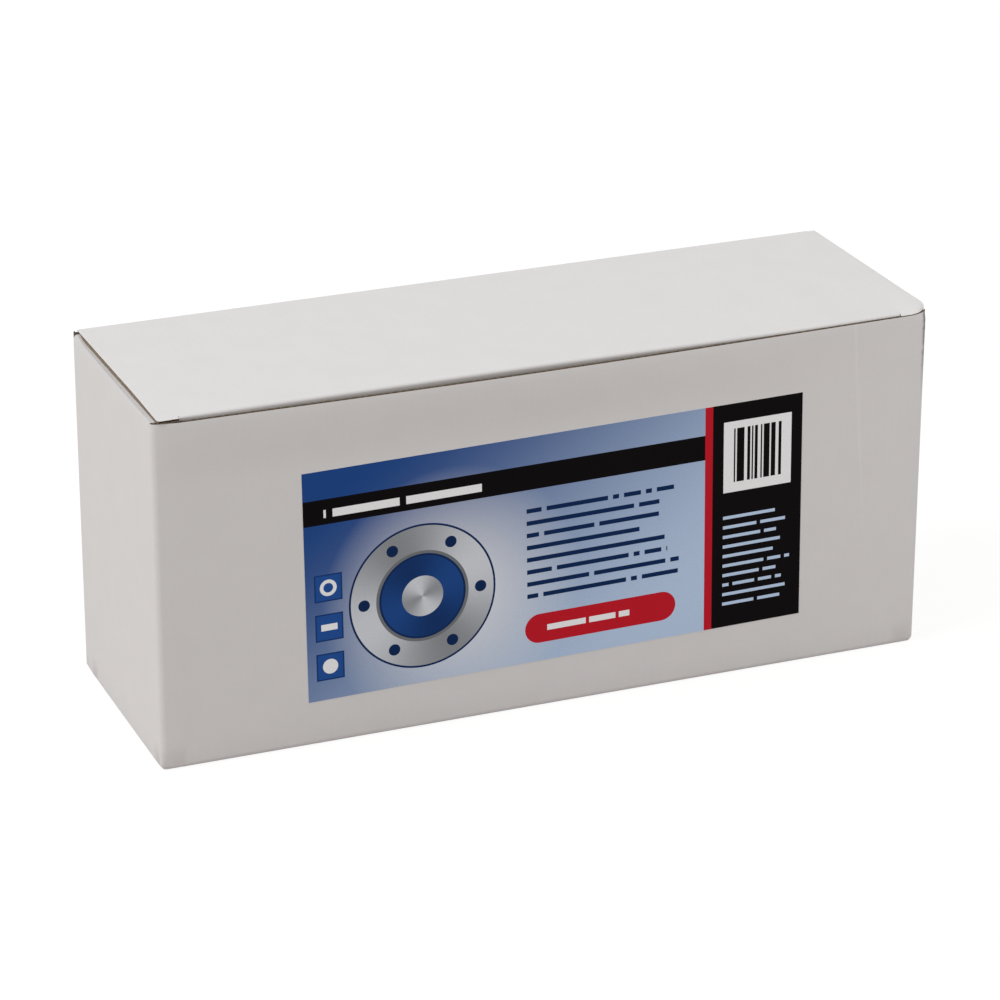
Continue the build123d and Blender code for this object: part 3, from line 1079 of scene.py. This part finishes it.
HINGE_REACH = 6.0 * MM  # how far the skin of the hinge runs along each panel
HINGE_PROUD = 0.03 * MM
HINGE_SKIN = 0.2 * MM
HINGE_STEP = 0.5 * MM
HINGE_INNER = 0.6 * MM  # radius of the fold's inside
HINGE_ENDS = (FOLD_MID - END_MID, END_MID - BOARD - FOLD_MID)  # where the back panel's flat ends


def hinge_skin(name, corners, radius, finish):
    """A thin skin over the hinge: a closed profile of the fold line, carried along the length.

    The profile is the fold line and the same line set back by the skin's thickness, both drawn
    under the board's face at their two ends so that no step shows.
    """
    line = FoldLine(corners, [radius])
    along = np.concatenate([line.along, spaced(0.0, line.length, HINGE_STEP)])
    along = np.unique(along.round(8))
    sunk = 2 * HINGE_PROUD * (1 - eased(np.minimum(along, line.length - along), 0.0, HINGE_REACH))
    outer = np.stack(line.at(along, HINGE_PROUD - sunk), axis=1)
    inner = np.stack(line.at(along, HINGE_PROUD - sunk - HINGE_SKIN), axis=1)
    profile = np.concatenate([outer, inner[::-1]])
    walked = np.concatenate([along, along[::-1]])
    across = spaced(*HINGE_ENDS, PANEL_STEP)
    count, steps = len(profile), len(across)
    vertices = np.empty((steps, count, 3))
    vertices[..., 0] = across[:, None]
    vertices[..., 1:] = profile
    flat = np.stack(np.broadcast_arrays(across[:, None], walked), axis=-1)
    rows = np.arange(steps * count).reshape(steps, count)
    quads = np.concatenate([loop_quads(rows[k], rows[k + 1]) for k in range(steps - 1)])
    caps = [rows[0].tolist(), rows[-1][::-1].tolist()]
    faces = quads.tolist() + caps
    whole = np.zeros(len(faces))
    return mesh_object(name, vertices.reshape(-1, 3), faces, whole, flat.reshape(-1, 2), [finish])


class CARTON_OT_hinge(bpy.types.Operator):
    """Lay the board's outer and inner faces over the fold that the lid turns on"""

    bl_idname = "carton.hinge"
    bl_label = "Crease the hinge"

    def execute(self, context):
        outside, inside, _ = board_finishes(context.scene.carton_board)
        top, back = LID_HIGH.z, HALF_DEPTH
        under, within = top - BOARD, back - BOARD
        foot = BODY_TOP - HINGE_REACH
        front = within - HINGE_REACH
        over = [(back, foot), (back, top), (front, top)]
        outer = hinge_skin("hinge_outside", over, BOARD / 2, outside)
        below = [(front, under), (within, under), (within, foot)]
        inner = hinge_skin("hinge_inside", below, HINGE_INNER, inside)
        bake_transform(outer)
        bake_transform(inner)
        return {"FINISHED"}


def label_paper_edge():
    """Bare white paper at the label's cut edge."""
    make = Finish("label_edge")
    fibre = make.noise(900.0, 3.0)
    shade = make.ranged(fibre, 0.0, 1.0)
    colour = make.mix(shade, screen_colour(236, 236, 233), screen_colour(206, 204, 200))
    return make.finish(colour, make.times(fibre, 0.01 * MM), 0.9, 0.1)


class LabelPrint(Finish):
    """Print on the label, in millimetres from its lower left corner, one ink laid over another."""

    def __init__(self, name):
        super().__init__(name)
        self.x, self.y = [self.math("DIVIDE", side, MM) for side in self.split()]
        self.colour = None

    def lay(self, mask, ink):
        """Lays an ink over what is printed so far."""
        self.colour = self.mix(mask, self.colour, ink)

    def under(self, value, limit):
        """1 where a value is under a limit."""
        return self.math("LESS_THAN", value, limit)

    def within(self, value, low, high):
        """1 where a value is between low and high."""
        return self.under(self.apart(value, (low + high) / 2), (high - low) / 2)

    def box(self, left, right, bottom, top):
        return self.times(self.within(self.x, left, right), self.within(self.y, bottom, top))

    def radius(self, x, y):
        """Distance from a point of the label."""
        return self.distance(self.less(self.x, x), self.less(self.y, y))

    def chance(self, *cells):
        """An even random number for each cell of a row or a grid."""
        combined = self.node("ShaderNodeCombineXYZ", enumerate(cells)).outputs[0]
        return self.node("ShaderNodeTexWhiteNoise", {"Vector": combined}, noise_dimensions="3D").outputs[0]

    def cells(self, value, pitch):
        """Number of the cell that a value is in, and its share of the way through it."""
        share = self.math("DIVIDE", value, pitch)
        return self.math("FLOOR", share), self.math("FRACT", share)

    def dashes(self, left, right, bottom, top, pitch, thick, seed):
        """Rows of broken dashes of uneven length, as plain lines that stand for small print."""
        row, in_row = self.cells(self.less(self.y, bottom), pitch)
        word, in_word = self.cells(self.math("ADD", self.x, self.times(row, 1.7)), 0.9 * pitch)
        shown = self.math("GREATER_THAN", self.chance(word, row, seed), 0.16)
        end = self.math("MULTIPLY_ADD", self.chance(row, seed, 0.5), -0.32 * (right - left), right)
        return self.times(
            self.box(left, right, bottom, top),
            self.under(in_row, thick / pitch),
            self.math("MAXIMUM", shown, self.under(in_word, 0.55)),
            self.under(self.x, end),
        )


# The print's layout, in millimetres
RING = (46.0, 35.5)
HOLE_RING, HOLE = 23.2, 2.3
GLOW = (58, 34)
PILL = (118, 13.5)
PILL_HALF, PILL_ROUND = 25.0, 6.0
TILE_BOTTOMS = (8.0, 24.0, 40.0)
TILE, TILE_FRAME = 11.0, 0.6
TILE_LEFT, TILE_MIDDLE = 3.5, 9
RED_LINE = 3.2
BOX_MARGIN, BAR_MARGIN, BAR_PITCH = 4.5, 7.5, 0.62


def label_print(settings):
    """The label's generic print: a blended blue field, bands, a ring motif, dashes, tiles and bars."""
    make = LabelPrint("label_print")
    white, black, red = tuple(settings.paper), tuple(settings.black), tuple(settings.red)
    deep, pale, silver = tuple(settings.deep_blue), tuple(settings.pale_blue), tuple(settings.silver)
    wide, high = settings.width / MM, settings.height / MM
    spine = 0.815 * wide

    # Blended field, with a soft glow behind the ring
    slant = make.math("MULTIPLY_ADD", make.x, 0.9 / wide, make.times(make.y, -0.55 / high))
    make.colour = make.mix(make.ramp(slant, -0.45, 0.62, interpolation_type="SMOOTHSTEP"), deep, pale)
    make.lay(make.ramp(make.radius(*GLOW), 52.0, 6.0, high=0.85), white)

    # Upright black band with a red line beside it, and a slim band across the field
    make.lay(make.box(spine, wide, 0, high), black)
    make.lay(make.box(spine - RED_LINE, spine, 0, high), red)
    make.lay(make.box(0, spine - RED_LINE, 71, 81), black)
    make.lay(make.dashes(8, 96, 73.6, 80, 6.4, 3.2, 3.0), white)

    # Ring motif with six holes, shaded round like turned metal
    across, up = make.less(make.x, RING[0]), make.less(make.y, RING[1])
    angle = make.math("ARCTAN2", up, across)
    radius = make.distance(across, up)
    gleam = make.math("SINE", make.math("MULTIPLY_ADD", angle, 2.0, 0.7))
    gleam = make.math("MULTIPLY_ADD", gleam, 0.5, 0.5)
    make.lay(make.under(radius, 29.2), scaled(deep, 0.4))
    make.lay(make.within(radius, 17.2, 28.4), make.mix(gleam, scaled(silver, 0.62), scaled(silver, 1.5)))
    make.lay(make.within(radius, 17.2, 18.4), scaled(silver, 0.4))
    make.lay(make.under(radius, 16.4), make.mix(gleam, scaled(deep, 0.55), deep))
    make.lay(make.under(radius, 8.2), make.mix(gleam, scaled(silver, 1.5), scaled(silver, 0.7)))
    sixth = make.math("WRAP", angle, math.pi / 6, -math.pi / 6)
    hole_x = make.less(make.times(radius, make.math("COSINE", sixth)), HOLE_RING)
    hole_y = make.times(radius, make.math("SINE", sixth))
    make.lay(make.under(make.distance(hole_x, hole_y), HOLE), scaled(deep, 0.35))

    # Rows that stand for small print, and a red lozenge under them
    make.lay(make.dashes(88, 152, 26.5, 66, 5.0, 1.8, 1.0), scaled(deep, 0.35))
    beyond = make.math("MAXIMUM", make.less(make.apart(make.x, PILL[0]), PILL_HALF), 0.0)
    make.lay(make.under(make.distance(beyond, make.less(make.y, PILL[1])), PILL_ROUND), red)
    make.lay(make.dashes(96, 142, 12.2, 15.6, 3.4, 2.4, 7.0), white)

    # Upright row of small tiles with a disc, a bar and a ring
    for bottom in TILE_BOTTOMS:
        for margin, shade in ((0.0, 0.7), (TILE_FRAME, 1.25)):
            left, right = TILE_LEFT + margin, TILE_LEFT + TILE - margin
            make.lay(make.box(left, right, bottom + margin, bottom + TILE - margin), scaled(deep, shade))
    make.lay(make.under(make.radius(TILE_MIDDLE, 13.5), 3.0), white)
    make.lay(make.box(5.8, 12.2, 28.2, 30.8), white)
    make.lay(make.within(make.radius(TILE_MIDDLE, 45.5), 1.9, 3.3), white)

    # White box of bars and more rows on the black band
    make.lay(make.box(spine + BOX_MARGIN, wide - BOX_MARGIN, 56, 85), white)
    bar, _ = make.cells(make.x, BAR_PITCH)
    bars = make.math("GREATER_THAN", make.chance(bar, 11.0, 0.0), 0.48)
    make.lay(make.times(make.box(spine + BAR_MARGIN, wide - BAR_MARGIN, 60, 82), bars), black)
    rows = make.dashes(spine + BOX_MARGIN, wide - BOX_MARGIN, 9, 49, 4.0, 1.3, 5.0)
    make.lay(rows, scaled(pale, 1.05))

    fibre = make.noise(1300.0, 2.0)
    shade = make.mix(make.ranged(fibre, 0.0, 0.06), make.colour, black)
    return make.finish(shade, make.times(fibre, 0.003 * MM), make.ranged(fibre, 0.5, 0.6), 0.03)


class CARTON_OT_label(bpy.types.Operator):
    """Stick the printed label on the front panel, following its bow"""

    bl_idname = "carton.label"
    bl_label = "Stick on the label"

    def execute(self, context):
        board = context.scene.carton_board
        settings = context.scene.carton_label
        middle = (LABEL_LOW + LABEL_HIGH) / 2
        thick = LABEL_HIGH.y - LABEL_LOW.y
        across = spaced(-settings.width / 2, settings.width / 2, PANEL_STEP)
        up = spaced(-settings.height / 2, settings.height / 2, PANEL_STEP)
        flat = np.stack(np.meshgrid(across, up), axis=-1)
        cos, sin = math.cos(settings.turn), math.sin(settings.turn)
        x = middle.x + flat[..., 0] * cos - flat[..., 1] * sin
        z = middle.z + flat[..., 0] * sin + flat[..., 1] * cos
        face = body_place(FRONT_ZERO + x, z, BOARD / 2 + thick, board)
        back = body_place(FRONT_ZERO + x, z, BOARD / 2 + 0 * x, board)
        count = x.size
        rows = np.arange(count).reshape(x.shape)
        quads = np.stack([rows[:-1, :-1], rows[:-1, 1:], rows[1:, 1:], rows[1:, :-1]], axis=-1)
        loop = np.concatenate([rows[0, :-1], rows[:-1, -1], rows[-1, :0:-1], rows[:0:-1, 0]])
        edges = loop_quads(loop, loop + count)[:, ::-1]
        quads = quads.reshape(-1, 4)
        faces = [quads, quads[:, ::-1] + count, edges]
        finish = np.repeat([0, 1, 1], [len(part) for part in faces])
        corner = flat.reshape(-1, 2) + (settings.width / 2, settings.height / 2)
        piece = mesh_object(
            "stuck_label",
            np.concatenate([face.reshape(-1, 3), back.reshape(-1, 3)]),
            np.concatenate(faces).tolist(),
            finish,
            np.concatenate([corner, corner]),
            [label_print(settings), label_paper_edge()],
        )
        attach(piece, "carton")
        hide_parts("label")
        return {"FINISHED"}


FLOOR_HALF = 6.0
FLOOR_GLOW = 0.8  # share of the floor's white that doesn't darken in shadow
GLOW_STRENGTH = 1.15
SKY_STRENGTH = 0.58
WHITE = (1.0, 1.0, 1.0, 1.0)
SENSOR = 36.0
LIGHTS = {  # each light's place, size and power
    "key_light": ((-3.15, -0.2, 4.1), 2.6, 142.0),
    "fill_light": ((0.75, -0.75, 0.35), 0.6, 1.6),
}


def floor_finish(settings):
    """Pale matt floor that shows white with the carton's soft shadow, and is clear from below."""
    make = Finish("floor")
    grain = make.ranged(make.noise(30.0, 2.0), 0.0, 1.0)
    colour = make.mix(grain, tuple(settings.floor), scaled(settings.floor, 0.985))
    matt = make.node("ShaderNodeBsdfDiffuse", {"Color": colour}).outputs[0]
    glow = make.node("ShaderNodeEmission", {"Color": WHITE, "Strength": GLOW_STRENGTH}).outputs[0]
    lit = make.either(make.times(make.shown_rays(), FLOOR_GLOW), matt, glow)
    clear = make.node("ShaderNodeBsdfTransparent").outputs[0]
    behind = make.node("ShaderNodeNewGeometry").outputs["Backfacing"]
    make.tree.nodes.remove(make.shader)
    make.show(make.either(behind, lit, clear), "Material Output")
    return make.owner


class CARTON_OT_stage(bpy.types.Operator):
    """Set the camera, floor, lights and sky"""

    bl_idname = "carton.stage"
    bl_label = "Set the stage"

    def execute(self, context):
        scene = context.scene
        settings = scene.carton_stage
        self.set_camera(scene, settings)
        self.lay_floor(settings)
        self.hang_lights(scene)
        self.paint_sky(scene)
        scene.view_settings.view_transform = "Standard"
        return {"FINISHED"}

    def set_camera(self, scene, settings):
        """A camera at an azimuth, elevation and distance, looking at the carton's middle."""
        azimuth, elevation = settings.azimuth, settings.elevation
        back = Vector(
            (
                math.sin(azimuth) * math.cos(elevation),
                -math.cos(azimuth) * math.cos(elevation),
                math.sin(elevation),
            )
        )
        level = (-back).to_track_quat("-Z", "Y")
        right, up = level @ Vector((1, 0, 0)), level @ Vector((0, 1, 0))
        turn = Matrix.Rotation(settings.roll, 4, "Z")
        camera = bpy.data.objects.new("camera", bpy.data.cameras.new("camera"))
        camera.data.sensor_width = SENSOR
        camera.data.lens = settings.lens
        camera.rotation_mode = "QUATERNION"
        camera.rotation_quaternion = level @ turn.to_quaternion()
        middle = Vector((0, 0, LID_HIGH.z / 2))
        camera.location = middle + back * settings.distance - right * settings.right - up * settings.up
        scene.collection.objects.link(camera)
        scene.camera = camera

    def lay_floor(self, settings):
        """One wide square under the carton."""
        side = FLOOR_HALF * np.array([(-1, -1), (1, -1), (1, 1), (-1, 1)], float)
        vertices = np.concatenate([side, np.zeros((4, 1))], axis=1)
        finishes = [floor_finish(settings)]
        floor = mesh_object("floor", vertices, [[0, 1, 2, 3]], [0], side, finishes, smooth=False)

    def hang_lights(self, scene):
        """A large soft light from above on the left, and a weak one from the front right."""
        for name, (place, size, power) in LIGHTS.items():
            light = bpy.data.lights.new(name, "AREA")
            light.shape = "DISK"
            light.size = size
            light.energy = power
            lamp = bpy.data.objects.new(name, light)
            lamp.location = place
            lamp.rotation_mode = "QUATERNION"
            lamp.rotation_quaternion = (-Vector(place)).to_track_quat("-Z", "Y")
            scene.collection.objects.link(lamp)

    def paint_sky(self, scene):
        """Even soft light all round, which the camera sees as near white."""
        make = Nodes(bpy.data.worlds.new("sky"))
        scene.world = make.owner
        soft = make.tree.nodes["Background"]
        make.feed(soft.inputs["Color"], WHITE)
        make.feed(soft.inputs["Strength"], SKY_STRENGTH)
        white = make.node("ShaderNodeBackground")
        make.show(make.either(make.shown_rays(), soft.outputs[0], white.outputs[0]), "World Output")


class CARTON_PT_pieces(bpy.types.Panel):
    """Sidebar list of the carton's pieces and their settings"""

    bl_idname = "CARTON_PT_pieces"
    bl_label = "Carton"
    bl_space_type = "VIEW_3D"
    bl_region_type = "UI"
    bl_category = "Carton"

    def draw(self, context):
        for operator in OPERATORS:
            self.layout.operator(operator.bl_idname)
        for group in ("carton_board", "carton_label", "carton_stage"):
            settings = getattr(context.scene, group)
            column = self.layout.column()
            for name in settings.__annotations__:
                column.prop(settings, name)


GROUPS = {"carton_board": CartonBoard, "carton_label": CartonLabel, "carton_stage": CartonStage}
OPERATORS = (CARTON_OT_body, CARTON_OT_lid, CARTON_OT_hinge, CARTON_OT_label, CARTON_OT_stage)
CLASSES = (*GROUPS.values(), *OPERATORS, CARTON_PT_pieces)


def register():
    for made in CLASSES:
        bpy.utils.register_class(made)
    for name, group in GROUPS.items():
        setattr(bpy.types.Scene, name, bpy.props.PointerProperty(type=group))


def unregister():
    for name in GROUPS:
        delattr(bpy.types.Scene, name)
    for made in reversed(CLASSES):
        bpy.utils.unregister_class(made)


def main():
    register()
    bpy.ops.carton.body()
    bpy.ops.carton.lid()
    bpy.ops.carton.hinge()
    bpy.ops.carton.label()
    bpy.ops.carton.stage()


if __name__ == "__main__":
    main()
